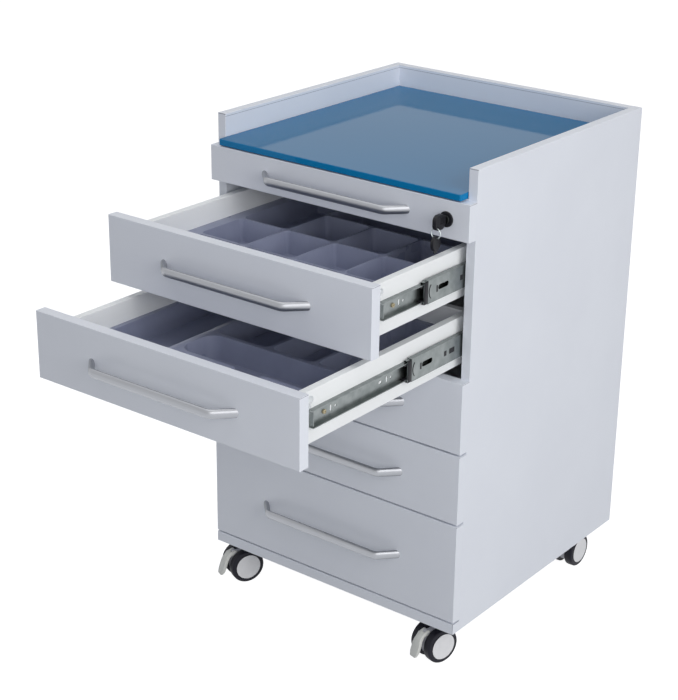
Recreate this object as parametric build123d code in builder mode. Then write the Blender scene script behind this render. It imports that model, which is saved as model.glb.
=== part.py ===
from build123d import *
import os

os.makedirs("parts", exist_ok=True)

# Mobile dental cabinet, millimetres, +Z up, front faces -Y, floor at Z = 0.
# The frame's origin is the middle of the bottom of the overall box, with
# drawer 2 part open and drawer 3 nearly fully open.

# ---- driving dimensions -------------------------------------------------
cab_w = 500.0            # over the side panels, and over the drawer fronts
side_depth = 484.0       # side panel, front to back
board = 16.0             # side, back panel
front_t = 18.0           # drawer fronts, plinth strip, top and bottom boards
floor_gap = 73.0         # floor to underside of the bottom board
plinth_h = 18.0
front_gap = 3.0          # between neighbouring fronts
front_heights = {1: 58.0, 2: 107.0, 3: 107.0, 4: 117.5, 5: 117.5, 6: 172.0}
open_out = {1: 0.0, 2: 231.0, 3: 384.0, 4: 0.0, 5: 0.0, 6: 0.0}
mid_ratio = {1: 0.5, 2: 129.0 / 231.0, 3: 164.0 / 384.0, 4: 0.5, 5: 0.5, 6: 0.5}
glass_t = 10.0
glass_rise = 2.0         # glass underside above the top edge of front 1
gallery = 37.0           # side and back panels above the glass
handle_out = 30.0        # bar's outer surface from the front's face

# ---- planes that follow from them ---------------------------------------
total_depth = side_depth + front_t + max(open_out.values()) + handle_out
y_back = total_depth / 2
y_cab = y_back - side_depth          # front ends of the side panels
y_face = y_cab - front_t             # faces of the closed fronts
x_in = cab_w / 2 - board             # inner faces of the side panels
front_z = {}
z_run = floor_gap + plinth_h + front_gap
for n in (6, 5, 4, 3, 2, 1):
    front_z[n] = z_run
    z_run += front_heights[n] + front_gap
z_front_top = z_run - front_gap
z_glass = z_front_top + glass_rise
z_top = z_glass + glass_t + gallery

# ---- drawer boxes and slides --------------------------------------------
slide_t = 12.7           # room for one slide beside the box
box_half = x_in - slide_t
box_board = 12.0
box_len = 430.0
floor_t = 6.0
box_rise = {1: 4.0, 2: 13.0, 3: 13.0, 4: 13.0, 5: 13.0, 6: 13.0}
box_drop = {1: 23.0, 2: 16.0, 3: 16.0, 4: 16.0, 5: 16.0, 6: 16.0}
slide_rise = {1: 18.0, 2: 51.0, 3: 51.0, 4: 51.0, 5: 51.0, 6: 51.0}
slide_len = 400.0
slide_back = 36.0        # slide's front end behind the back of the front
outer_h = 45.5           # cabinet member
mid_h = 36.0             # intermediate member
inner_h = 27.0           # drawer member
gauge = 1.2
run = 0.10               # clearance of the ball tracks

# ---- casters -------------------------------------------------------------
wheel_r = 30.0
hub_r = 24.0
wheel_out = 24.5         # outer face of a wheel from the caster's middle
wheel_in = 7.5
web_half = 7.0
trail = 28.0
caster_x = 205.0
caster_dy = 206.0
y_mid = y_cab + side_depth / 2
casters = {
    "front_left": (-caster_x, y_mid - caster_dy, -25.0),
    "front_right": (caster_x, y_mid - caster_dy, -16.0),
    "back_left": (-caster_x, y_mid + caster_dy, -10.0),
    "back_right": (caster_x, y_mid + caster_dy, 0.0),
}
axle_r = 3.0
pin_r = 4.0
fit = 0.05               # radial running fit of axle, king pin and lock core

# ---- lock ------------------------------------------------------------------
lock_x = 209.5
lock_z = 759.0
lock_body_r = 9.5
core_r = 6.5
cam_y = y_cab + 11.0     # front face of the cam
cam_t = 2.5
cam_len = 14.0           # stays below the roof of the slot when turned up


# =========================================================================
# Carcass
# =========================================================================
for side, name in ((-1, "left_side_panel"), (1, "right_side_panel")):
    with BuildPart() as panel:
        with Locations((side * (x_in + board / 2), y_mid, (floor_gap + z_top) / 2)):
            Box(board, side_depth, z_top - floor_gap)
        # banded edges along the top and the front end are eased
        tops = panel.edges().filter_by(Axis.Y).group_by(Axis.Z)[-1]
        ends = panel.edges().filter_by(Axis.Z).group_by(Axis.Y)[0]
        fillet(tops + ends, 0.8)
    panel.part.label = name
    export_step(panel.part, f"parts/{name}.step")

with BuildPart() as back_panel:
    with Locations((0, y_back - board / 2, (floor_gap + z_top) / 2)):
        Box(2 * x_in, board, z_top - floor_gap)
    fillet(back_panel.edges().filter_by(Axis.X).group_by(Axis.Z)[-1], 0.8)
back_panel.part.label = "back_panel"
export_step(back_panel.part, "parts/back_panel.step")

with BuildPart() as top_board:
    with BuildSketch(Plane.XY.offset(z_glass - front_t)):
        with Locations((0, (y_cab + y_back - board) / 2)):
            Rectangle(2 * x_in, side_depth - board)
    extrude(amount=front_t)
    # slot in the underside that the lock cam turns up into
    with BuildSketch(Plane.XY.offset(z_glass - front_t)):
        with Locations((lock_x - 6.0, cam_y + cam_t / 2)):
            Rectangle(36.0, cam_t + 2.0)
    extrude(amount=9.0, mode=Mode.SUBTRACT)
top_board.part.label = "top_board"
export_step(top_board.part, "parts/top_board.step")

with BuildPart() as bottom_board:
    with BuildSketch(Plane.XY.offset(floor_gap)):
        with Locations((0, (y_cab + y_back - board) / 2)):
            Rectangle(2 * x_in, side_depth - board)
    extrude(amount=front_t)
bottom_board.part.label = "bottom_board"
export_step(bottom_board.part, "parts/bottom_board.step")

with BuildPart() as plinth_strip:
    with Locations((0, y_cab - front_t / 2, floor_gap + plinth_h / 2)):
        Box(cab_w, front_t, plinth_h)
    face = plinth_strip.faces().sort_by(Axis.Y)[0]
    fillet(face.edges(), 0.8)
plinth_strip.part.label = "plinth_strip"
export_step(plinth_strip.part, "parts/plinth_strip.step")

# glass worktop lies on the top board between the three raised panels
with BuildPart() as glass_top:
    with BuildSketch(Plane.XY.offset(z_glass)):
        with Locations((0, (y_face + y_back - board - 1.0) / 2)):
            Rectangle(2 * x_in - 2.0, y_back - board - 1.0 - y_face)
        fillet(vertices().group_by(Axis.Y)[0], 3.0)
    extrude(amount=glass_t)
    chamfer(glass_top.faces().sort_by(Axis.Z)[-1].edges(), 0.8)
    chamfer(glass_top.faces().sort_by(Axis.Z)[0].edges(), 0.8)
glass_top.part.label = "glass_top"
export_step(glass_top.part, "parts/glass_top.step")


# =========================================================================
# Slides: cabinet members of all six pairs, fixed inside the side panels
# =========================================================================
y_slide = y_cab + slide_back
with BuildPart() as cabinet_rails:
    for n in front_z:
        zc = front_z[n] + slide_rise[n]
        for s in (-1, 1):
            with BuildSketch(Plane.XZ.offset(-(y_slide + slide_len))):
                with Locations((s * (x_in - gauge / 2), zc)):
                    Rectangle(gauge, outer_h)
                for e in (-1, 1):
                    with Locations((s * (x_in - 4.75), zc + e * (outer_h - gauge) / 2)):
                        Rectangle(9.5, gauge)
                    with Locations((s * (x_in - 8.9), zc + e * (outer_h / 2 - 1.5))):
                        Rectangle(gauge, 3.0)
            extrude(amount=slide_len)
            # two screw slots in each web
            with BuildSketch(Plane.YZ.offset(s * (x_in - gauge - 0.5))):
                with Locations((y_slide + 37.0, zc), (y_slide + 293.0, zc)):
                    SlotOverall(9.0, 5.0)
            extrude(amount=s * (gauge + 0.4), mode=Mode.SUBTRACT)
cabinet_rails.part.label = "cabinet_rails"
export_step(cabinet_rails.part, "parts/cabinet_rails.step")


# =========================================================================
# Drawers
# =========================================================================
handle_d = 9.0           # oval bar section, front to back
handle_h = 14.0          # and height
foot_x = 137.0
bend_x = 112.0
bend_r = 14.0

for n in front_z:
    yo = -open_out[n]
    z0 = front_z[n]
    h = front_heights[n]
    zc = z0 + slide_rise[n]
    y_b = y_cab + yo               # back of this front
    box_z0 = z0 + box_rise[n]
    box_z1 = z0 + h - box_drop[n]

    with BuildPart() as front:
        with Locations((0, y_b - front_t / 2, z0 + h / 2)):
            Box(cab_w, front_t, h)
        fillet(front.faces().sort_by(Axis.Y)[0].edges(), 0.8)
        if n == 1:
            with Locations(Plane.XZ.offset(-y_b) * Location((lock_x, lock_z))):
                Cylinder(lock_body_r + 0.1, 60.0, mode=Mode.SUBTRACT)
    front.part.label = f"drawer_{n}_front"
    export_step(front.part, f"parts/drawer_{n}_front.step")

    # side boards, back and floor of the box; the front closes it
    with BuildPart() as box:
        for s in (-1, 1):
            with Locations((s * (box_half - box_board / 2), y_b + box_len / 2,
                            (box_z0 + box_z1) / 2)):
                Box(box_board, box_len, box_z1 - box_z0)
        with Locations((0, y_b + box_len - box_board / 2, (box_z0 + box_z1) / 2)):
            Box(2 * box_half - 2 * box_board, box_board, box_z1 - box_z0)
        with Locations((0, y_b + (box_len - box_board) / 2, box_z0 + floor_t / 2)):
            Box(2 * (box_half - box_board), box_len - box_board, floor_t)
        if n == 1:
            # the right side board clears the back of the lock
            with Locations((box_half - box_board / 2, y_b + 12.0, box_z1)):
                Box(box_board + 2, 24.0, 2 * (box_z1 - lock_z + lock_body_r + 6.0),
                    mode=Mode.SUBTRACT)
        else:
            # milled pocket for the front fixing, with its cutter relief
            pocket_top = box_z1 - 8.0
            pocket_low = zc + inner_h / 2 - 2.0
            for s in (-1, 1):
                with BuildSketch(Plane.YZ.offset(s * (box_half - 8.0))):
                    with Locations((y_b + 20.0, (pocket_top + pocket_low) / 2)):
                        Rectangle(40.0, pocket_top - pocket_low)
                    with Locations((y_b + 40.0, pocket_top - 6.0)):
                        Circle(6.0)
                extrude(amount=s * 9.0, mode=Mode.SUBTRACT)
        rim = box.edges().filter_by(Axis.Y).group_by(Axis.Z)[-1]
        fillet(rim, 0.6)
    box.part.label = f"drawer_{n}_box"
    export_step(box.part, f"parts/drawer_{n}_box.step")

    # bent bar handle: oval section swept out, along and back to the front
    y_f = y_b - front_t
    y_bar = y_f - (handle_out - handle_d / 2)
    run_in = 6.0                   # bar runs on into the front, cut off below
    slope = (y_f - y_bar) / (foot_x - bend_x)
    x_end = foot_x + run_in / slope
    with BuildPart() as handle:
        with BuildLine(Plane.XY.offset(z0 + h / 2)) as spine:
            Polyline((-x_end, y_f + run_in), (-bend_x, y_bar),
                     (bend_x, y_bar), (x_end, y_f + run_in))
            fillet(spine.vertices().group_by(Axis.Y)[0], bend_r)
        start = spine.wires()[0]
        with BuildSketch(Plane(origin=start @ 0, x_dir=(0, 0, 1), z_dir=start % 0)):
            Ellipse(handle_h / 2, handle_d / 2)
        sweep()
        split(bisect_by=Plane.XZ.offset(-y_f), keep=Keep.TOP)
    handle.part.label = f"drawer_{n}_handle"
    export_step(handle.part, f"parts/drawer_{n}_handle.step")

    # drawer members of the slide pair
    y_r = y_b + slide_back
    with BuildPart() as rails:
        for s in (-1, 1):
            with BuildSketch(Plane.XZ.offset(-(y_r + slide_len))):
                with Locations((s * (box_half + gauge / 2), zc)):
                    Rectangle(gauge, inner_h)
                for e in (-1, 1):
                    with Locations((s * (box_half + 4.15), zc + e * (inner_h - gauge) / 2)):
                        Rectangle(8.3, gauge)
            extrude(amount=slide_len)
            # folded tab across the front end
            with Locations((s * (box_half + 4.0), y_r + gauge / 2, zc)):
                Box(8.0, gauge, inner_h - 7.0)
            with BuildSketch(Plane.YZ.offset(s * (box_half - 0.5))):
                for k in range(3):
                    with Locations((y_r + 31.0 + 128.0 * k, zc)):
                        SlotOverall(8.0, 4.6)
                    with Locations((y_r + 46.5 + 128.0 * k, zc)):
                        SlotOverall(10.0, 4.4, rotation=90)
                    with Locations((y_r + 56.5 + 128.0 * k, zc)):
                        Circle(2.2)
            extrude(amount=s * (gauge + 0.8), mode=Mode.SUBTRACT)
    rails.part.label = f"drawer_{n}_rails"
    export_step(rails.part, f"parts/drawer_{n}_rails.step")

    # intermediate members, with their ball tracks and black nose pieces
    y_m = y_slide + 2.0 - mid_ratio[n] * open_out[n]
    mid_len = slide_len - 10.0
    x_web = x_in - 3.0             # middle of the intermediate's web
    with BuildPart() as mid:
        for s in (-1, 1):
            with BuildSketch(Plane.XZ.offset(-(y_m + mid_len))):
                with Locations((s * x_web, zc)):
                    Rectangle(gauge, mid_h)
                for e in (-1, 1):
                    with Locations((s * (x_web - 3.25), zc + e * (mid_h - gauge) / 2)):
                        Rectangle(7.7, gauge)
            extrude(amount=mid_len)
            # inner tracks run on the drawer member, at the front half
            inner_gap = (mid_h - inner_h) / 2 - gauge
            outer_gap = (outer_h - mid_h) / 2 - gauge
            for e in (-1, 1):
                with Locations((s * (x_web - 4.0), y_m + 72.0,
                                zc + e * (inner_h / 2 + run + (inner_gap - run) / 2))):
                    Box(5.0, 144.0, inner_gap - run)
                with Locations((s * (x_web - 2.4), y_m + mid_len - 72.0,
                                zc + e * (mid_h / 2 + (outer_gap - run) / 2))):
                    Box(4.4, 144.0, outer_gap - run)
            # window near the front end
            with BuildSketch(Plane.YZ.offset(s * (x_web - gauge))):
                with Locations((y_m + 39.0, zc + 1.0)):
                    SlotOverall(26.0, 8.0)
            extrude(amount=s * 2.4 * gauge, mode=Mode.SUBTRACT)
    # black nose pieces: a plate and two arms around the drawer member
    with BuildPart() as nose:
        for s in (-1, 1):
            with Locations((s * (x_web - 0.1), y_m - 4.5, zc)):
                Box(2.0, 9.0, mid_h - 2 * gauge)
            for e in (-1, 1):
                with Locations((s * (x_web - 3.8), y_m - 4.5,
                                zc + e * (inner_h / 2 + run + (inner_gap - run) / 2))):
                    Box(5.4, 9.0, inner_gap - run)
    mid_pair = Compound(mid.part.solids() + nose.part.solids())
    mid_pair.label = f"drawer_{n}_mid_rails"
    export_step(mid_pair, f"parts/drawer_{n}_mid_rails.step")


# =========================================================================
# Formed trays in drawers 2 and 3
# =========================================================================
tray_half = box_half - box_board - 0.5
sheet = 1.5              # sheet thickness
tray_top = 44.0          # rim above the underside of the box
tray_low = floor_t + 0.05
cell_top_r = 9.0
draft = 7.0

trays = {
    2: [],
    3: [],
}
# drawer 2: four columns of cells; the left one ends in a long cell, and one
# wide cell lies behind the other three
cols = [-190.0, -95.0, 0.0, 95.0, 190.0]
rows = [-457.0, -357.0, -257.0, -157.0, -62.0]
for i in range(4):
    for j in range(3):
        y1 = rows[4] if (i == 0 and j == 2) else rows[j + 1]
        trays[2].append((cols[i] + 2, cols[i + 1] - 2, rows[j] + 2, y1 - 2, cell_top_r))
trays[2].append((cols[1] + 2, cols[4] - 2, rows[3] + 2, rows[4] - 2, cell_top_r))
# drawer 3: long cell at the left, row of three at the back, and corners
# either side of the neck of the wide basin at the front
trays[3] = [
    (-200.0, -88.0, -616.0, -219.0, 12.0),
    (-80.0, 25.0, -446.0, -219.0, 12.0),
    (31.0, 112.0, -446.0, -219.0, 12.0),
    (118.0, 200.0, -446.0, -219.0, 12.0),
    (-76.0, 24.0, -616.0, -537.0, 14.0),
    (98.0, 200.0, -616.0, -537.0, 14.0),
]
basin = [(-76.0, 200.0, -529.0, -454.0, 24.0)]
neck = (34.0, 88.0, -616.0, -500.0, 10.0)
y_shift = y_cab + 242.0  # tray rows above count from the middle of the cabinet

for n in (2, 3):
    y_b = y_cab - open_out[n]
    box_z0 = front_z[n] + box_rise[n]
    rim_z = box_z0 + tray_top
    depth = tray_top - tray_low
    y0 = y_b + 0.5
    y1 = y_b + box_len - box_board - 0.5
    with BuildPart() as tray:
        with Locations((0, (y0 + y1) / 2, rim_z - sheet / 2)):
            Box(2 * tray_half, y1 - y0, sheet)
        # pods hang from the sheet, then each is hollowed from above
        for wall, mode in ((sheet, Mode.ADD), (0.0, Mode.SUBTRACT)):
            deep = depth if wall else depth - sheet
            for xa, xb, ya, yb, r in trays[n] + (basin if n == 3 else []):
                with BuildSketch(Plane.XY.offset(rim_z)):
                    with Locations(((xa + xb) / 2, (ya + yb) / 2 + y_shift)):
                        RectangleRounded(xb - xa + 2 * wall, yb - ya + 2 * wall, r + wall)
                extrude(amount=-deep, taper=draft, mode=mode)
            if n == 3:
                xa, xb, ya, yb, r = neck
                with BuildSketch(Plane.XY.offset(rim_z)):
                    with Locations(((xa + xb) / 2, (ya + yb) / 2 + y_shift)):
                        RectangleRounded(xb - xa + 2 * wall, yb - ya + 2 * wall, r + wall)
                extrude(amount=-deep, taper=draft, mode=mode)
    tray.part.label = f"drawer_{n}_tray"
    export_step(tray.part, f"parts/drawer_{n}_tray.step")


# =========================================================================
# Cam lock in drawer 1, with the key in it and a second key on a ring
# =========================================================================
y_f1 = y_cab - front_t
rosette_t = 2.5
body_end = y_cab + 9.0
with BuildPart() as lock_body:
    with BuildSketch(Plane.XZ.offset(-y_f1)):
        with Locations((lock_x, lock_z)):
            Circle(12.0)
    extrude(amount=rosette_t)
    fillet(lock_body.faces().sort_by(Axis.Y)[0].edges(), 1.2)
    with BuildSketch(Plane.XZ.offset(-body_end)):
        with Locations((lock_x, lock_z)):
            Circle(lock_body_r)
    extrude(amount=body_end - y_f1)
    with BuildSketch(Plane.XZ.offset(-body_end)):
        with Locations((lock_x, lock_z)):
            Circle(core_r)
    extrude(amount=60.0, mode=Mode.SUBTRACT)
lock_body.part.label = "lock_body"
export_step(lock_body.part, "parts/lock_body.step")

y_core = y_f1 - rosette_t - 0.8
with BuildPart() as lock_core:
    with BuildSketch(Plane.XZ.offset(-cam_y)):
        with Locations((lock_x, lock_z)):
            Circle(core_r - fit)
    extrude(amount=cam_y - y_core)
    # keyway
    with Locations((lock_x, y_core + 9.0, lock_z)):
        Box(2.3, 18.0, 8.0, mode=Mode.SUBTRACT)
# cam lies flat towards the middle of the drawer until the key is turned
with BuildPart() as cam:
    with BuildSketch(Plane.XZ.offset(-(cam_y + cam_t))):
        with Locations((lock_x - cam_len / 2, lock_z)):
            SlotCenterToCenter(cam_len, 11.0)
    extrude(amount=cam_t)
core_and_cam = Compound([lock_core.part, cam.part])
core_and_cam.label = "lock_core"
export_step(core_and_cam, "parts/lock_core.step")

head_w = 24.0
head_h = 23.0
head_t = 6.5
head_y = y_core - 4.0 - head_w / 2
eye_y = head_y - 7.0
eye_z = lock_z - 7.0
with BuildPart() as key:
    with Locations((lock_x, y_core + 5.0, lock_z)):
        Box(2.1, 20.0, 7.6)
    with BuildSketch(Plane.YZ.offset(lock_x - head_t / 2)):
        with Locations((head_y, lock_z)):
            RectangleRounded(head_w, head_h, 8.5)
        with Locations((eye_y, eye_z)):
            Circle(1.9, mode=Mode.SUBTRACT)
    extrude(amount=head_t)
    # grip ribs pressed across both cheeks
    for s in (-1, 1):
        with BuildSketch(Plane.YZ.offset(lock_x + s * (head_t / 2 - 0.8))):
            for k in range(4):
                with Locations((head_y + 0.1 + 2.6 * k, lock_z + 2.0)):
                    Rectangle(1.2, 11.0)
        extrude(amount=s * 1.0, mode=Mode.SUBTRACT)
    with Locations((lock_x, y_core - 3.0, lock_z)):
        Box(4.0, 3.6, 11.0)
key.part.label = "key"
export_step(key.part, "parts/key.step")

ring_r = 8.0
wire_r = 0.8
# the wire curves down across the thick head, so it rests on the hole's ends
ring_z = eye_z - 1.9 + fit - ((ring_r - wire_r) ** 2 - (head_t / 2) ** 2) ** 0.5
with BuildPart() as key_ring:
    with BuildSketch(Plane.XY.offset(ring_z)):
        with Locations((lock_x + ring_r, eye_y)):
            Circle(wire_r)
    revolve(axis=Axis((lock_x, eye_y, ring_z), (0, 1, 0)))
key_ring.part.label = "key_ring"
export_step(key_ring.part, "parts/key_ring.step")


# =========================================================================
# Casters: mounts on the bottom board, housings, twin wheels, brake levers
# =========================================================================
head_z = 66.0            # top of the swivel head of the housing
with BuildPart() as caster_mounts:
    for cx, cy, turn in casters.values():
        with BuildSketch(Plane.XY.offset(floor_gap - 2.5)):
            with Locations((cx, cy)):
                RectangleRounded(44.0, 44.0, 5.0)
            with Locations((cx, cy)):
                with GridLocations(33.0, 33.0, 2, 2):
                    Circle(2.2, mode=Mode.SUBTRACT)
        extrude(amount=2.5)
        with BuildSketch(Plane.XY.offset(head_z + fit)):
            with Locations((cx, cy)):
                Circle(15.0)
        extrude(amount=floor_gap - 2.5 - head_z - fit)
        with BuildSketch(Plane.XY.offset(44.0)):
            with Locations((cx, cy)):
                Circle(pin_r)
        extrude(amount=head_z - 44.0 + 0.5)
caster_mounts.part.label = "caster_mounts"
export_step(caster_mounts.part, "parts/caster_mounts.step")

lug_t = 46.0             # brake lever pivot, along the trail and up
lug_z = 53.0
web_r = 24.0
for name, (cx, cy, turn) in casters.items():
    braked = name.startswith("front")
    at = Pos(cx, cy, 0) * Rot(0, 0, turn)
    # drawn in the caster's own frame: swivel axis at the origin, the wheels
    # trailing towards -Y and the axle along X, then turned into place
    with BuildPart() as housing:
        with BuildSketch(Plane.YZ.offset(-web_half)):
            with Locations((-trail, wheel_r)):
                Circle(web_r)
            with Locations((-trail / 2 + 2.0, 48.0)):
                Rectangle(trail + 10.0, 26.0)
        extrude(amount=2 * web_half)
        if braked:
            with BuildSketch(Plane.YZ.offset(-3.0)):
                with Locations((-lug_t, lug_z)):
                    Circle(4.3)
                with Locations((-lug_t + 7.0, lug_z - 2.0)):
                    Rectangle(14.0, 9.0)
            extrude(amount=6.0)
            with BuildSketch(Plane.YZ.offset(-web_half)):
                with Locations((-lug_t, lug_z)):
                    Circle(1.5)
            extrude(amount=2 * web_half)
        with BuildSketch(Plane.XY.offset(60.9)):
            Circle(17.0)
        extrude(amount=head_z - 60.9)
        with BuildSketch(Plane.XY.offset(43.5)):
            Circle(pin_r + fit)
        extrude(amount=30.0, mode=Mode.SUBTRACT)
        with BuildSketch(Plane.YZ.offset(-wheel_out + 3.5)):
            with Locations((-trail, wheel_r)):
                Circle(axle_r)
        extrude(amount=2 * wheel_out - 7.0)
    placed = at * housing.part
    placed.label = f"caster_{name}_housing"
    export_step(placed, f"parts/caster_{name}_housing.step")

    for s, hand in ((-1, "left"), (1, "right")):
        axle = Axis((0, -trail, wheel_r), (1, 0, 0))
        with BuildPart() as hub:
            with BuildSketch(Plane.XY.offset(wheel_r)):
                with BuildLine():
                    Polyline((s * 21.2, -trail), (s * 21.2, -trail - axle_r - fit),
                             (s * (wheel_in + 0.5), -trail - axle_r - fit),
                             (s * (wheel_in + 0.5), -trail - hub_r),
                             (s * 23.4, -trail - hub_r), (s * 24.1, -trail - hub_r + 1.4),
                             (s * wheel_out, -trail - 12.0), (s * wheel_out, -trail),
                             close=True)
                make_face()
            revolve(axis=axle)
        with BuildPart() as tyre:
            with BuildSketch(Plane.XY.offset(wheel_r)):
                with BuildLine():
                    Polyline((s * 11.0, -trail - wheel_r), (s * 9.0, -trail - 29.6),
                             (s * wheel_in, -trail - 28.0), (s * wheel_in, -trail - hub_r),
                             (s * 23.4, -trail - hub_r), (s * 23.4, -trail - 27.6),
                             (s * 22.0, -trail - 29.3), (s * 20.0, -trail - wheel_r),
                             close=True)
                make_face()
            revolve(axis=axle)
        wheel = Compound([at * hub.part, at * tyre.part])
        wheel.label = f"caster_{name}_wheel_{hand}"
        export_step(wheel, f"parts/caster_{name}_wheel_{hand}.step")

    if braked:
        with BuildPart() as lever:
            with BuildSketch(Plane.YZ.offset(-10.0)):
                with Locations((-lug_t, lug_z)):
                    Circle(4.3)
                with BuildLine():
                    Polyline((-46.0, 57.2), (-56.5, 54.0), (-64.5, 44.0), (-68.5, 31.0),
                             (-73.5, 16.0), (-70.5, 13.5), (-66.0, 20.0), (-62.5, 31.5),
                             (-59.5, 41.0), (-53.5, 48.5), (-46.0, 48.8), close=True)
                make_face()
            extrude(amount=20.0)
            # seen from the front the paddle is a leaf, widest below the middle
            with BuildSketch(Plane.XZ.offset(30.0)):
                with BuildLine():
                    Polyline((-6.9, 60.0), (6.9, 60.0), (6.9, 47.0), (9.0, 37.0), (9.0, 24.0),
                             (6.2, 15.5), (0.0, 12.5), (-6.2, 15.5), (-9.0, 24.0),
                             (-9.0, 37.0), (-6.9, 47.0), close=True)
                make_face()
            extrude(amount=60.0, mode=Mode.INTERSECT)
            with Locations((0, -lug_t, lug_z)):
                Box(6.4, 11.6, 14.0, mode=Mode.SUBTRACT)
            with BuildSketch(Plane.YZ.offset(-10.0)):
                with Locations((-lug_t, lug_z)):
                    Circle(1.5 + fit)
            extrude(amount=20.0, mode=Mode.SUBTRACT)
        placed = at * lever.part
        placed.label = f"caster_{name}_lever"
        export_step(placed, f"parts/caster_{name}_lever.step")
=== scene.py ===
import math

import bpy
from mathutils import Matrix, Vector


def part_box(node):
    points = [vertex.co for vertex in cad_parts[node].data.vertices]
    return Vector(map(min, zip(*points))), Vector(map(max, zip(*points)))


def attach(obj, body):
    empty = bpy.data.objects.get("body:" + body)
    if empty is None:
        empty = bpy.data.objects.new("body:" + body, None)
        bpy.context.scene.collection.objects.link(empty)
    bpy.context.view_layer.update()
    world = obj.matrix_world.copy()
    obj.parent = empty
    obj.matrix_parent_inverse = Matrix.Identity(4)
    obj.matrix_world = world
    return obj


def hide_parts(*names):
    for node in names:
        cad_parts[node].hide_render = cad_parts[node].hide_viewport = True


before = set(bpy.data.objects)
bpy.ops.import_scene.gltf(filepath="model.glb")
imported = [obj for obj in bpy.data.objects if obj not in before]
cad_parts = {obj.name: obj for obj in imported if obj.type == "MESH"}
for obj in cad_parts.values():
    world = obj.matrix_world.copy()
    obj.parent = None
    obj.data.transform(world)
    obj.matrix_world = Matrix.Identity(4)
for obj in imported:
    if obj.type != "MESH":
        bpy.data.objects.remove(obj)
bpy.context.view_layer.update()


# The studio: the camera stands where the photographer stood, a little above
# the worktop and to the right of the fronts. White floor and white air, a
# large soft lamp on the right, a weaker one overhead and a small one in
# front, so that the fronts lie in even half shade.
right = Vector((0.80132, 0.59785, 0.02139))
up = Vector((-0.23896, 0.28710, 0.92762))
ahead = Vector((-0.54843, 0.74843, -0.37292))
stand = Vector((1.5248, -1.9830, 1.5108))
camera = bpy.data.objects.new("camera", bpy.data.cameras.new("camera"))
bpy.context.collection.objects.link(camera)
camera.matrix_world = Matrix(((right.x, up.x, -ahead.x, stand.x),
                              (right.y, up.y, -ahead.y, stand.y),
                              (right.z, up.z, -ahead.z, stand.z),
                              (0.0, 0.0, 0.0, 1.0)))
camera.data.sensor_fit = "HORIZONTAL"
camera.data.sensor_width = 36.0
camera.data.lens = 89.593
camera.data.shift_x = -0.0681
camera.data.shift_y = -0.0169
bpy.context.scene.camera = camera
bpy.context.scene.view_settings.view_transform = "Standard"


def reckon(tree, operation, *terms):
    """A Math node's result; each term is a number to set or a socket to join on."""
    node = tree.nodes.new("ShaderNodeMath")
    node.operation = operation
    for socket, term in zip(node.inputs, terms):
        if isinstance(term, float):
            socket.default_value = term
        else:
            tree.links.new(term, socket)
    return node.outputs[0]


def seen_by(tree, *kinds):
    """One for rays of these kinds, nought for the rest."""
    rays = tree.nodes.new("ShaderNodeLightPath")
    seen = rays.outputs[f"Is {kinds[0]} Ray"]
    for kind in kinds[1:]:
        seen = reckon(tree, "MAXIMUM", seen, rays.outputs[f"Is {kind} Ray"])
    return seen


# the air lights the cabinet softly, and is full white where it is seen
air = bpy.data.worlds.new("studio_air")
air.use_nodes = True
bpy.context.scene.world = air
tree = air.node_tree
tree.nodes.clear()
mix = tree.nodes.new("ShaderNodeMixShader")
tree.links.new(seen_by(tree, "Camera", "Glossy", "Transmission"), mix.inputs["Fac"])
for slot, colour, strength in ((1, (0.92, 0.95, 1.0, 1.0), 0.32), (2, (1.0, 1.0, 1.0, 1.0), 1.0)):
    glow = tree.nodes.new("ShaderNodeBackground")
    glow.inputs["Color"].default_value = colour
    glow.inputs["Strength"].default_value = strength
    tree.links.new(glow.outputs[0], mix.inputs[slot])
out = tree.nodes.new("ShaderNodeOutputWorld")
tree.links.new(mix.outputs[0], out.inputs["Surface"])


def new_finish(name):
    """A new material, its node tree and its shader."""
    mat = bpy.data.materials.new(name)
    mat.use_nodes = True
    return mat, mat.node_tree, mat.node_tree.nodes["Principled BSDF"]


# the floor glows where it is seen, so that it comes out as white as the air
bpy.ops.object.select_all(action="DESELECT")
bpy.ops.mesh.primitive_plane_add(size=14.0, location=(0.0, 0.0, 0.0))
floor = bpy.context.object
floor.name = "studio_floor"
paint, tree, shader = new_finish("white_floor")
shader.inputs["Base Color"].default_value = (0.42, 0.43, 0.45, 1.0)
shader.inputs["Roughness"].default_value = 0.9
shader.inputs["Specular IOR Level"].default_value = 0.1
shader.inputs["Emission Color"].default_value = (1.0, 1.0, 1.0, 1.0)
lift = reckon(tree, "MULTIPLY", seen_by(tree, "Camera", "Glossy"), 0.95)
tree.links.new(lift, shader.inputs["Emission Strength"])
floor.data.materials.append(paint)

for name, place, aim, size, watts in (
        ("lamp_right", (3.0, -0.7, 1.8), (0.0, 0.0, 0.45), 2.2, 50.0),
        ("lamp_above", (-0.3, -0.5, 3.4), (0.0, 0.0, 0.6), 2.6, 20.0),
        ("lamp_front", (1.6, -2.1, 1.3), (0.1, -0.3, 0.5), 1.4, 12.0)):
    lamp = bpy.data.objects.new(name, bpy.data.lights.new(name, "AREA"))
    lamp.data.shape = "SQUARE"
    lamp.data.size = size
    lamp.data.energy = watts
    lamp.data.color = (1.0, 0.99, 0.97)
    lamp.location = place
    lamp.rotation_euler = (Vector(aim) - Vector(place)).to_track_quat("-Z", "Y").to_euler()
    bpy.context.collection.objects.link(lamp)


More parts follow.
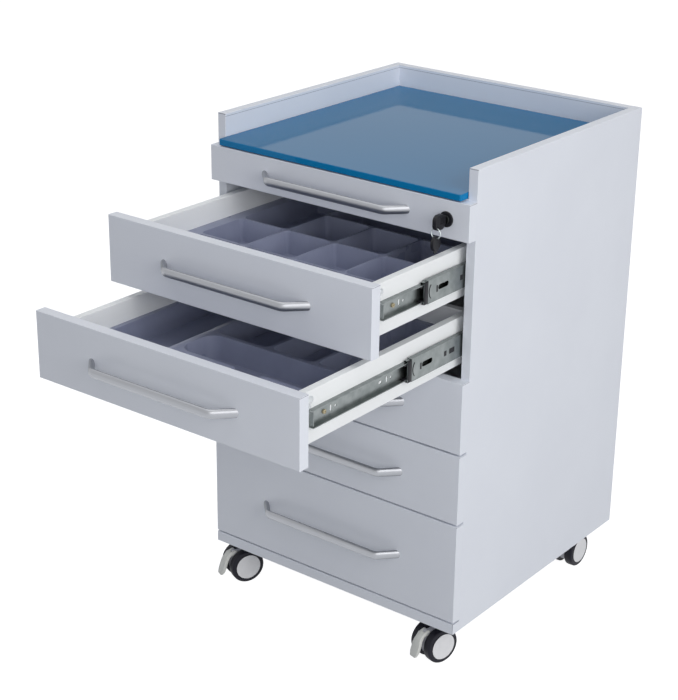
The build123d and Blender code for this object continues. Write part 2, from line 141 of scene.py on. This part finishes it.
# The cabinet's boards: chipboard faced with white melamine, very faintly
# mottled and with a fine orange-peel skin. Their edge banding shows as thin
# dark joints just below the top edges and at the end of the plinth strip.
def noise(tree, scale, detail=2.0, stretch=None):
    """Noise that stays with the piece, drawn out along an axis by stretch."""
    place = tree.nodes.new("ShaderNodeTexCoord").outputs["Object"]
    if stretch:
        along = tree.nodes.new("ShaderNodeMapping")
        along.inputs["Scale"].default_value = stretch
        tree.links.new(place, along.inputs["Vector"])
        place = along.outputs["Vector"]
    texture = tree.nodes.new("ShaderNodeTexNoise")
    texture.inputs["Scale"].default_value = scale
    texture.inputs["Detail"].default_value = detail
    tree.links.new(place, texture.inputs["Vector"])
    return texture.outputs["Fac"]


def position(tree):
    """The place on the piece, as sockets X, Y and Z."""
    place = tree.nodes.new("ShaderNodeTexCoord").outputs["Object"]
    split = tree.nodes.new("ShaderNodeSeparateXYZ")
    tree.links.new(place, split.inputs["Vector"])
    return split.outputs


def blend(tree, factor, dark, light, low=0.0, high=1.0):
    """A colour: dark up to low of the factor, light from high on."""
    ramp = tree.nodes.new("ShaderNodeValToRGB")
    for stop, level, colour in zip(ramp.color_ramp.elements, (low, high), (dark, light)):
        stop.position = level
        stop.color = (*colour, 1.0)
    tree.links.new(factor, ramp.inputs["Fac"])
    return ramp.outputs["Color"]


def overlay(tree, factor, below, above):
    """The colour above laid over the one below; each is a colour or a socket."""
    layer = tree.nodes.new("ShaderNodeMix")
    layer.data_type = "RGBA"
    tree.links.new(factor, layer.inputs["Factor"])
    for slot, colour in (("A", below), ("B", above)):
        if isinstance(colour, tuple):
            layer.inputs[slot].default_value = (*colour, 1.0)
        else:
            tree.links.new(colour, layer.inputs[slot])
    return layer.outputs["Result"]


def spread(tree, factor, to_low, to_high, from_low=0.0, from_high=1.0):
    """The factor's range from_low to from_high, spread over to_low to to_high."""
    span = tree.nodes.new("ShaderNodeMapRange")
    span.inputs["From Min"].default_value = from_low
    span.inputs["From Max"].default_value = from_high
    span.inputs["To Min"].default_value = to_low
    span.inputs["To Max"].default_value = to_high
    tree.links.new(factor, span.inputs["Value"])
    return span.outputs["Result"]


def emboss(tree, shader, height, strength, distance):
    """Fine relief on the surface."""
    relief = tree.nodes.new("ShaderNodeBump")
    relief.inputs["Strength"].default_value = strength
    relief.inputs["Distance"].default_value = distance
    tree.links.new(height, relief.inputs["Height"])
    tree.links.new(relief.outputs["Normal"], shader.inputs["Normal"])


def shaded(tint, red, green, blue):
    """A tint with each of its channels taken down or up."""
    return (tint[0] * red, tint[1] * green, tint[2] * blue)


def board_finish(name, tint, joints):
    """Melamine with dark joints: (axis, level, half width, kept to axis, from, to)."""
    mat, tree, shader = new_finish(name)
    cloud = noise(tree, 7.0, 3.0)
    colour = blend(tree, cloud, shaded(tint, 0.97, 0.97, 0.975), tint, 0.35, 0.65)
    at = position(tree)
    for axis, level, half, keep, low, high in joints:
        near = reckon(tree, "COMPARE", at[axis], level, half)
        above = reckon(tree, "GREATER_THAN", at[keep], low)
        below = reckon(tree, "LESS_THAN", at[keep], high)
        mask = reckon(tree, "MULTIPLY", near, reckon(tree, "MULTIPLY", above, below))
        colour = overlay(tree, mask, colour, shaded(tint, 0.42, 0.43, 0.46))
    tree.links.new(colour, shader.inputs["Base Color"])
    tree.links.new(spread(tree, cloud, 0.34, 0.44), shader.inputs["Roughness"])
    emboss(tree, shader, noise(tree, 420.0), 0.10, 0.0003)
    return mat


white_board = (0.80, 0.83, 0.90)
side_low, side_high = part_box("left_side_panel")
back_low, back_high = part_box("back_panel")
face_skin = 0.0005           # what lies this near a face counts as the face
beyond = 1.0                 # past every piece
inner_joint = (0.0045, 0.00035)      # below the top edge, and half width
end_joint = (0.0012, 0.0006)
for node, axis, low, high in (
        ("left_side_panel", "X", side_high.x - face_skin, 0.0),
        ("right_side_panel", "X", 0.0, face_skin - side_high.x),
        ("back_panel", "Y", 0.0, back_low.y + face_skin)):
    joints = [("Z", back_high.z - inner_joint[0], inner_joint[1], axis, low, high)]
    if node != "back_panel":
        joints.append(("Z", side_high.z - end_joint[0], end_joint[1],
                       "Y", -beyond, side_low.y + face_skin))
    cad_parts[node].material_slots[0].material = board_finish(
        node + "_melamine", white_board, joints)
plain_board = board_finish("white_melamine", white_board, [])
for node in ("top_board", "bottom_board"):
    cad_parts[node].material_slots[0].material = plain_board
plinth_joint = ("X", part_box("plinth_strip")[1].x - 0.0007, 0.0005, "Z", 0.0, beyond)
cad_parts["plinth_strip"].material_slots[0].material = board_finish(
    "plinth_melamine", white_board, [plinth_joint])


# The worktop: a pane of deep blue toughened glass, ten millimetres thick, on
# the white top board. Its ground edge is a darker, fuller blue than its face.
glass, tree, shader = new_finish("blue_worktop_glass")
glass_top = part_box("glass_top")[1].z
on_face = spread(tree, position(tree)["Z"], 0.0, 1.0, glass_top - 0.0008, glass_top + 0.0002)
face_blue = blend(tree, noise(tree, 3.0), (0.028, 0.165, 0.340), (0.034, 0.185, 0.370))
edge_blue = (0.004, 0.200, 0.460)
tree.links.new(overlay(tree, on_face, edge_blue, face_blue), shader.inputs["Base Color"])
shader.inputs["Roughness"].default_value = 0.06
shader.inputs["IOR"].default_value = 1.52
shader.inputs["Specular IOR Level"].default_value = 0.08
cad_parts["glass_top"].material_slots[0].material = glass


# The slides: zinc-plated steel members folded from strip, one pair to a
# drawer. The plating is bright but cloudy, with faint draw lines along it.
def zinc_finish(name, shade):
    """Plated steel of a shade from black to bright."""
    mat, tree, shader = new_finish(name)
    shader.inputs["Metallic"].default_value = 1.0
    cloud = noise(tree, 60.0, 4.0)
    grey = (shade, shade, shade)
    colour = blend(tree, cloud, shaded(grey, 0.68, 0.76, 0.76), shaded(grey, 1.02, 1.10, 1.10),
                   0.3, 0.7)
    tree.links.new(colour, shader.inputs["Base Color"])
    tree.links.new(spread(tree, cloud, 0.26, 0.46), shader.inputs["Roughness"])
    emboss(tree, shader, noise(tree, 900.0, stretch=(1.0, 0.03, 1.0)), 0.15, 0.0002)
    return mat


zinc = zinc_finish("zinc_plate", 0.28)
for node in ("cabinet_rails", "caster_mounts"):
    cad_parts[node].material_slots[0].material = zinc
for k in range(1, 7):
    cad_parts[f"drawer_{k}_rails"].material_slots[0].material = zinc
    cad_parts[f"drawer_{k}_mid_rails"].material_slots[0].material = zinc


# The slides' nose pieces: a black moulding clipped on the front end of each
# intermediate member, with a curved spring tongue on the web behind it. Two
# brass-coloured screws hold each drawer member to the box.
def plastic_finish(name, tint, low, high, shine=0.5):
    """A moulded or lacquered surface, its roughness between low and high."""
    mat, tree, shader = new_finish(name)
    shader.inputs["Specular IOR Level"].default_value = shine
    cloud = noise(tree, 120.0, 3.0)
    colour = blend(tree, cloud, shaded(tint, 0.92, 0.92, 0.92), tint)
    tree.links.new(colour, shader.inputs["Base Color"])
    tree.links.new(spread(tree, cloud, low, high), shader.inputs["Roughness"])
    emboss(tree, shader, cloud, 0.08, 0.0002)
    return mat


def apply_place():
    """Put the selected piece's place, turn and size into its mesh."""
    bpy.ops.object.transform_apply(location=True, rotation=True, scale=True)


def edit_all(kind, action):
    """Go into edit mode on one kind of element, with all or none selected."""
    bpy.ops.object.mode_set(mode="EDIT")
    bpy.ops.mesh.select_mode(type=kind)
    bpy.ops.mesh.select_all(action=action)


def finished_copy(pattern, name, place):
    """A copy of a pattern with its own mesh, the place put into that mesh."""
    piece = bpy.data.objects.new(name, pattern.data.copy())
    piece.data.transform(place)
    bpy.context.collection.objects.link(piece)
    return piece


black = plastic_finish("black_moulding", (0.014, 0.014, 0.018), 0.32, 0.46, 0.22)
brass = plastic_finish("yellow_zinc_screws", (0.42, 0.36, 0.22), 0.25, 0.40)

# x is measured from the cabinet's middle, y from the member's front end and
# z from its middle height: place and size of each block of the nose piece
nose_block = ((0.2309, 0.0045, 0.0), (0.0024, 0.0094, 0.0336))
arm_low, arm_high = [((0.2272, 0.0045, z), (0.0054, 0.0090, 0.0028)) for z in (-0.0152, 0.0152)]
guide_low, guide_high = [((0.2270, -0.0032, z), (0.0060, 0.0076, 0.0018)) for z in (-0.0112, 0.0112)]
# dark plates for the web's slots: painted shade of the slots' inside, with the black ball cage
# behind
shaded_slot_plates = [((0.2317, y, 0.0), (0.0003, deep, tall))
           for y, deep, tall in ((0.0320, 0.0032, 0.0100), (0.0940, 0.0060, 0.0080),
                                 (0.1110, 0.0130, 0.0080))]
tongue_place = (0.2318, 0.0270, 0.0)
tongue_r = 0.0150
tongue_wire_r = 0.0006
tongue_end = 0.0160          # only the arc in front of this is kept


def slide_nose(side):
    """The nose piece of the right (1) or left (-1) member, at the front end."""
    def block(place, size):
        """One block of it."""
        bpy.ops.mesh.primitive_cube_add(
            size=1.0, scale=size, location=(side * place[0], place[1], place[2]))
        apply_place()
        return bpy.context.object

    bpy.ops.object.select_all(action="DESELECT")
    nose = block(*nose_block)
    edit_all("FACE", "DESELECT")
    bpy.ops.object.mode_set(mode="OBJECT")
    for face in nose.data.polygons:
        face.select = face.normal.y < -0.5
    bpy.ops.object.mode_set(mode="EDIT")
    bpy.ops.mesh.inset(thickness=0.0005)
    bpy.ops.mesh.extrude_region_move(TRANSFORM_OT_translate={"value": (0.0, 0.0016, 0.0)})
    bpy.ops.mesh.select_all(action="SELECT")
    bpy.ops.mesh.bevel(offset=0.0002, segments=2, affect="EDGES")
    bpy.ops.object.mode_set(mode="OBJECT")
    bpy.ops.mesh.primitive_torus_add(
        major_segments=72, minor_segments=8, major_radius=tongue_r, minor_radius=tongue_wire_r,
        location=(side * tongue_place[0], tongue_place[1], tongue_place[2]),
        rotation=(0.0, math.pi / 2, 0.0))
    tongue = bpy.context.object
    apply_place()
    edit_all("FACE", "SELECT")
    bpy.ops.mesh.bisect(plane_co=(0.0, tongue_end, 0.0), plane_no=(0.0, 1.0, 0.0),
                        clear_outer=True, use_fill=True)
    bpy.ops.object.mode_set(mode="OBJECT")
    # arms round the drawer member, guides that reach forward inside it, and
    # dark plates for the slots in the web: painted shade inside the slots, with the black ball cage
    # behind
    blocks = [nose, tongue]
    for place, size in (arm_high, arm_low, guide_high, guide_low, *shaded_slot_plates):
        blocks.append(block(place, size))
    for part in blocks:
        part.select_set(True)
    bpy.context.view_layer.objects.active = nose
    bpy.ops.object.join()
    bpy.ops.object.shade_smooth_by_angle(angle=math.radians(40))
    nose.data.materials.append(black)
    return nose


def slide_screw(side):
    """A pan-head screw in the right (1) or left (-1) drawer member."""
    bpy.ops.object.select_all(action="DESELECT")
    bpy.ops.mesh.primitive_cylinder_add(
        vertices=24, radius=0.0034, depth=0.0022, end_fill_type="NGON",
        location=(side * 0.2232, 0.0, 0.0), rotation=(0.0, side * math.pi / 2, 0.0))
    screw = bpy.context.object
    apply_place()
    edit_all("FACE", "DESELECT")
    bpy.ops.object.mode_set(mode="OBJECT")
    head = max(screw.data.polygons, key=lambda f: side * f.normal.x * f.area)
    head.select = True
    bpy.ops.object.mode_set(mode="EDIT")
    # the head's rounded shoulder, then the socket for the driver
    bpy.ops.mesh.inset(thickness=0.0010)
    bpy.ops.transform.translate(value=(side * 0.0004, 0.0, 0.0))
    bpy.ops.mesh.inset(thickness=0.0012)
    bpy.ops.mesh.extrude_region_move(
        TRANSFORM_OT_translate={"value": (-side * 0.0009, 0.0, 0.0)})
    bpy.ops.object.mode_set(mode="OBJECT")
    bpy.ops.object.shade_smooth_by_angle(angle=math.radians(35))
    screw.data.materials.append(brass)
    return screw


hands = ((-1, "left"), (1, "right"))
screw_spots = ((0.0310, "front"), (0.3125, "back"))    # behind the member's front end
noses = {hand: slide_nose(side) for side, hand in hands}
screws = {hand: slide_screw(side) for side, hand in hands}
for k in range(1, 7):
    low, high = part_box(f"drawer_{k}_mid_rails")
    for side, hand in hands:
        nose = finished_copy(noses[hand], f"drawer_{k}_slide_nose_{hand}",
                             Matrix.Translation((0.0, low.y, (low.z + high.z) / 2.0)))
        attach(nose, f"drawer_{k}_mids")
    low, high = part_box(f"drawer_{k}_rails")
    for side, hand in hands:
        for spot, at in screw_spots:
            screw = finished_copy(screws[hand], f"drawer_{k}_slide_screw_{hand}_{at}",
                                  Matrix.Translation((0.0, low.y + spot, (low.z + high.z) / 2.0)))
            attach(screw, f"drawer_{k}")
for pattern in (*noses.values(), *screws.values()):
    bpy.data.objects.remove(pattern)


# The drawer fronts and boxes: the same white board, but the boxes' tint is set
# lighter, painted light for the lamp on their sides. Each front's ends get a dark line just below
# the top.
# painted light: the boxes' board is lighter than the fronts' so that their sides come out as
# brightly lit
lightened_box_board = board_finish("drawer_box_melamine_lightened", (0.93, 0.95, 0.96), [])
# a dark line on each end of a front, just below its top edge
front_end_line = (0.0012, 0.0004)       # below the top edge, and half width
end_skin = 0.0008                    # what lies this near an end counts as the end
for k in range(1, 7):
    low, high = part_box(f"drawer_{k}_front")
    joints = [("Z", high.z - front_end_line[0], front_end_line[1], "X", high.x - end_skin, beyond),
              ("Z", high.z - front_end_line[0], front_end_line[1], "X", -beyond, low.x + end_skin)]
    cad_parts[f"drawer_{k}_front"].material_slots[0].material = board_finish(
        f"drawer_{k}_front_melamine", white_board, joints)
    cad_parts[f"drawer_{k}_box"].material_slots[0].material = lightened_box_board


# The handles: one drawn aluminium bar each, oval in section, bent back to the
# front at both ends and satin anodised. Screwed on from behind.
satin, tree, shader = new_finish("satin_aluminium")
shader.inputs["Metallic"].default_value = 1.0
lines = noise(tree, 1400.0, stretch=(0.02, 1.0, 1.0))
tree.links.new(blend(tree, lines, (0.30, 0.31, 0.335), (0.40, 0.41, 0.435)),
               shader.inputs["Base Color"])
tree.links.new(spread(tree, lines, 0.30, 0.40), shader.inputs["Roughness"])

bar_out = 0.0255             # middle of the bar in front of the drawer front
bar_half = (0.0045, 0.0070)  # half the oval, front to back and up
bend_x = 0.10612             # where the bend begins, its radius and its turn
bend_r = 0.014
bend_turn = math.radians(45.567)
run_out = 0.045              # from the bend on, past the front's face, and cut there
bpy.ops.object.select_all(action="DESELECT")
bpy.ops.mesh.primitive_circle_add(
    vertices=40, radius=1.0, location=(0.0, -bar_out, 0.0), rotation=(0.0, math.pi / 2, 0.0))
bar = bpy.context.object
apply_place()
edit_all("VERT", "SELECT")
bpy.ops.transform.resize(value=(1.0, *bar_half), center_override=(0.0, -bar_out, 0.0))
bpy.ops.mesh.extrude_region_move(TRANSFORM_OT_translate={"value": (bend_x, 0.0, 0.0)})
bpy.ops.mesh.spin(steps=10, angle=-bend_turn, axis=(0.0, 0.0, 1.0),
                  center=(bend_x, bend_r - bar_out, 0.0))
run = Vector((math.cos(bend_turn), math.sin(bend_turn), 0.0)) * run_out
bpy.ops.mesh.extrude_region_move(TRANSFORM_OT_translate={"value": run})
bpy.ops.mesh.select_all(action="SELECT")
bpy.ops.mesh.bisect(plane_co=(0.0, 0.0, 0.0), plane_no=(0.0, 1.0, 0.0),
                    clear_outer=True, use_fill=True)
bpy.ops.object.mode_set(mode="OBJECT")
twin = bar.modifiers.new("other_end", "MIRROR")
twin.use_axis = (True, False, False)
twin.merge_threshold = 0.0001
bpy.ops.object.modifier_apply(modifier=twin.name)
edit_all("VERT", "SELECT")
bpy.ops.mesh.remove_doubles(threshold=0.00002)
bpy.ops.mesh.normals_make_consistent(inside=False)
bpy.ops.object.mode_set(mode="OBJECT")
bpy.ops.object.shade_smooth_by_angle(angle=math.radians(40))
bar.data.materials.append(satin)
for k in range(1, 7):
    low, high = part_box(f"drawer_{k}_handle")
    handle = finished_copy(bar, f"drawer_{k}_bar_handle",
                           Matrix.Translation((0.0, high.y, (low.z + high.z) / 2.0)))
    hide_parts(f"drawer_{k}_handle")
    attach(handle, f"drawer_{k}")
bpy.data.objects.remove(bar)


# The trays: dark violet-grey plastic sheet, vacuum-formed over a mould, so
# every rim and every cell floor is rounded. One lies in each open drawer.
tray_plastic, tree, shader = new_finish("formed_tray_plastic")
cloud = noise(tree, 14.0, 4.0)
tree.links.new(blend(tree, cloud, (0.235, 0.258, 0.365), (0.280, 0.305, 0.425), 0.35, 0.65),
               shader.inputs["Base Color"])
tree.links.new(spread(tree, cloud, 0.24, 0.34), shader.inputs["Roughness"])
emboss(tree, shader, noise(tree, 350.0), 0.12, 0.0004)


def merged_copy(node, name):
    """A copy of a CAD node with its loose triangles merged into faces."""
    copy = bpy.data.objects.new(name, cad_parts[node].data.copy())
    copy.data.materials.clear()
    bpy.context.collection.objects.link(copy)
    bpy.ops.object.select_all(action="DESELECT")
    copy.select_set(True)
    bpy.context.view_layer.objects.active = copy
    edit_all("VERT", "SELECT")
    bpy.ops.mesh.remove_doubles(threshold=0.00001)
    bpy.ops.mesh.dissolve_limited(angle_limit=math.radians(0.5))
    bpy.ops.mesh.select_all(action="DESELECT")
    bpy.ops.object.mode_set(mode="OBJECT")
    return copy


def round_edges(piece, width, segments, sharpest):
    """Round the edges of a piece that turn by more than an angle in degrees."""
    rounding = piece.modifiers.new("rounding", "BEVEL")
    rounding.width = width
    rounding.segments = segments
    rounding.limit_method = "ANGLE"
    rounding.angle_limit = math.radians(sharpest)
    bpy.ops.object.modifier_apply(modifier=rounding.name)


for k in (2, 3):
    tray = merged_copy(f"drawer_{k}_tray", f"drawer_{k}_formed_tray")
    # keep the upper skin of the sheet, round its edges, then thicken it down
    for face in tray.data.polygons:
        face.select = face.normal.z < 0.03
    bpy.ops.object.mode_set(mode="EDIT")
    bpy.ops.mesh.delete(type="FACE")
    bpy.ops.object.mode_set(mode="OBJECT")
    round_edges(tray, 0.0032, 4, 38)
    wall = tray.modifiers.new("wall", "SOLIDIFY")
    wall.thickness = 0.0012
    wall.offset = -1.0
    bpy.ops.object.modifier_apply(modifier=wall.name)
    bpy.ops.object.shade_smooth_by_angle(angle=math.radians(35))
    tray.data.materials.append(tray_plastic)
    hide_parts(f"drawer_{k}_tray")
    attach(tray, f"drawer_{k}")


# The lock and keys: black moulded rosette and key grip, blackened core and a
# bright ring. One key stands in the lock, a second hangs below on the ring.
nickel = zinc_finish("nickel_plate", 0.74)
core_black = zinc_finish("blackened_core", 0.07)


def eased_copy(node, name, width, finish, body):
    """A CAD node's shape with eased edges, shown in its place."""
    piece = merged_copy(node, name)
    round_edges(piece, width, 3, 40)
    bpy.ops.object.shade_smooth_by_angle(angle=math.radians(35))
    piece.data.materials.append(finish)
    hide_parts(node)
    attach(piece, body)


eased_copy("lock_body", "lock_rosette", 0.0004, black, "drawer_1")
eased_copy("lock_core", "lock_core_and_cam", 0.0003, core_black, "lock_core")
eased_copy("key", "key_grip", 0.0005, black, "lock_core")

ring_r = 0.008
wire_r = 0.0008
low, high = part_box("key_ring")
bpy.ops.object.select_all(action="DESELECT")
bpy.ops.mesh.primitive_torus_add(
    major_segments=48, minor_segments=12, major_radius=ring_r, minor_radius=wire_r,
    location=(low + high) / 2.0, rotation=(math.pi / 2, 0.0, 0.0))
ring = bpy.context.object
apply_place()
bpy.ops.object.shade_smooth()
ring.name = "key_ring_wire"
ring.data.materials.append(nickel)
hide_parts("key_ring")
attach(ring, "key_ring")

# the second key: a rounded black grip with the stub of a flat blade, hung by
# its eye on the lowest point of the ring
eye = Vector(((low.x + high.x) / 2.0, (low.y + high.y) / 2.0, low.z + wire_r))
eye_r = 0.0016
grip_drop = 0.0078           # middle of the grip below the eye
grip_half = (0.0112, 0.0095)         # half the grip, up and across
grip_t = 0.0060
blade_drop = 0.0205          # middle of the stub below the eye
blade_size = (0.0021, 0.0068, 0.0040)


def rim_edges(mesh):
    """Select the edges round the two ends of a disc whose axis lies along X."""
    for edge in mesh.edges:
        a, b = (mesh.vertices[v].co for v in edge.vertices)
        edge.select = abs(a.x - b.x) < 0.0001


bpy.ops.object.select_all(action="DESELECT")
bpy.ops.mesh.primitive_cylinder_add(
    vertices=64, radius=1.0, depth=grip_t, end_fill_type="NGON",
    location=(eye.x, eye.y, eye.z - grip_drop), rotation=(0.0, math.pi / 2, 0.0))
grip = bpy.context.object
grip.scale = (*grip_half, 1.0)
apply_place()
edit_all("EDGE", "DESELECT")
bpy.ops.object.mode_set(mode="OBJECT")
rim_edges(grip.data)
bpy.ops.object.mode_set(mode="EDIT")
bpy.ops.mesh.bevel(offset=0.0009, segments=3, affect="EDGES")
bpy.ops.object.mode_set(mode="OBJECT")
bpy.ops.mesh.primitive_cylinder_add(
    vertices=24, radius=eye_r, depth=0.0090, location=eye, rotation=(0.0, math.pi / 2, 0.0))
punch = bpy.context.object
hole = grip.modifiers.new("eye", "BOOLEAN")
hole.object = punch
hole.operation = "DIFFERENCE"
hole.solver = "EXACT"
bpy.context.view_layer.objects.active = grip
bpy.ops.object.modifier_apply(modifier=hole.name)
bpy.data.objects.remove(punch)
bpy.ops.object.select_all(action="DESELECT")
grip.select_set(True)
bpy.ops.object.shade_smooth_by_angle(angle=math.radians(35))
grip.name = "second_key_grip"
grip.data.materials.append(black)
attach(grip, "key_ring")

bpy.ops.object.select_all(action="DESELECT")
bpy.ops.mesh.primitive_cube_add(
    size=1.0, location=(eye.x, eye.y, eye.z - blade_drop), scale=blade_size)
blade = bpy.context.object
apply_place()
edit_all("EDGE", "SELECT")
bpy.ops.mesh.bevel(offset=0.0003, segments=2, affect="EDGES")
bpy.ops.object.mode_set(mode="OBJECT")
bpy.ops.object.shade_smooth_by_angle(angle=math.radians(35))
blade.name = "second_key_blade"
blade.data.materials.append(core_black)
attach(blade, "key_ring")


# The casters: light grey moulded nylon housings on zinc plates, each with two
# wheels: a light grey dished disc inside a soft dark tyre. Those at the front
# have a foot brake lever of a warmer grey.
housing_nylon = plastic_finish("housing_nylon", (0.60, 0.60, 0.66), 0.35, 0.50)
disc_grey = plastic_finish("wheel_disc_grey", (0.86, 0.86, 0.88), 0.30, 0.42)
tyre_dark = plastic_finish("tyre_dark", (0.010, 0.010, 0.017), 0.42, 0.58, 0.20)
lever_grey = plastic_finish("lever_grey", (0.74, 0.75, 0.72), 0.32, 0.45)

# places and sizes of the CAD casters: swivel axis and turn in degrees
caster_x = 0.205
front_y = 0.010
back_y = 0.422
casters = {
    "front_left": (-caster_x, front_y, -25.0),
    "front_right": (caster_x, front_y, -16.0),
    "back_left": (-caster_x, back_y, -10.0),
    "back_right": (caster_x, back_y, 0.0),
}
wheel_r = 0.030
wheel_wide = 0.016
wheel_x = 0.0155             # middle of a wheel from the swivel axis
trail = 0.028                # axle behind the swivel axis
# rings of the disc from its edge inwards: width, and how far each stands out
disc_rings = ((0.0005, 0.0002), (0.0012, -0.0002), (0.0030, -0.0007), (0.0100, -0.0005))


def turned_wheel(side):
    """The right (1) or left (-1) wheel of a caster that stands at the origin."""
    # tyre: the left wheel is eased on every edge, which keeps its tread
    # squarer, and the right one round its two rims
    bpy.ops.object.select_all(action="DESELECT")
    bpy.ops.mesh.primitive_cylinder_add(
        vertices=72, radius=wheel_r, depth=wheel_wide, end_fill_type="NGON",
        location=(side * wheel_x, -trail, wheel_r), rotation=(0.0, side * math.pi / 2, 0.0))
    wheel = bpy.context.object
    apply_place()
    wheel.data.materials.append(tyre_dark)
    wheel.data.materials.append(disc_grey)
    edit_all("EDGE", "DESELECT")
    bpy.ops.object.mode_set(mode="OBJECT")
    rim_edges(wheel.data)
    bpy.ops.object.mode_set(mode="EDIT")
    if side < 0:
        bpy.ops.mesh.select_all(action="SELECT")
    bpy.ops.mesh.bevel(offset=0.0034, segments=5, profile=0.5, clamp_overlap=True)
    bpy.ops.mesh.select_all(action="DESELECT")
    bpy.ops.object.mode_set(mode="OBJECT")
    # disc: stepped in from the tyre's outer flank
    outer = max(wheel.data.polygons, key=lambda f: side * f.normal.x * f.area)
    outer.select = True
    bpy.ops.object.mode_set(mode="EDIT")
    bpy.ops.mesh.select_mode(type="FACE")
    bpy.ops.mesh.inset(thickness=0.0040)
    bpy.ops.mesh.extrude_region_move(
        TRANSFORM_OT_translate={"value": (-side * 0.0010, 0.0, 0.0)})
    bpy.ops.mesh.inset(thickness=0.0003)
    wheel.active_material_index = 1
    bpy.ops.object.material_slot_assign()
    bpy.ops.mesh.extrude_region_move(
        TRANSFORM_OT_translate={"value": (side * 0.0016, 0.0, 0.0)})
    for width, out in disc_rings:
        bpy.ops.mesh.inset(thickness=width)
        bpy.ops.transform.translate(value=(side * out, 0.0, 0.0))
    bpy.ops.object.mode_set(mode="OBJECT")
    bpy.ops.object.shade_smooth_by_angle(angle=math.radians(30))
    return wheel


wheels = {hand: turned_wheel(side) for side, hand in hands}
for name, (x, y, turn) in casters.items():
    eased_copy(f"caster_{name}_housing", f"caster_{name}_cover", 0.0010,
               housing_nylon, f"caster_{name}")
    if name.startswith("front"):
        eased_copy(f"caster_{name}_lever", f"caster_{name}_brake_lever", 0.0009,
                   lever_grey, f"caster_{name}_lever")
    stance = Matrix.Translation((x, y, 0.0)) @ Matrix.Rotation(math.radians(turn), 4, "Z")
    for side, hand in hands:
        wheel = finished_copy(wheels[hand], f"caster_{name}_twin_wheel_{hand}", stance)
        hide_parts(f"caster_{name}_wheel_{hand}")
        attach(wheel, f"caster_{name}_wheel_{hand}")
for pattern in wheels.values():
    bpy.data.objects.remove(pattern)
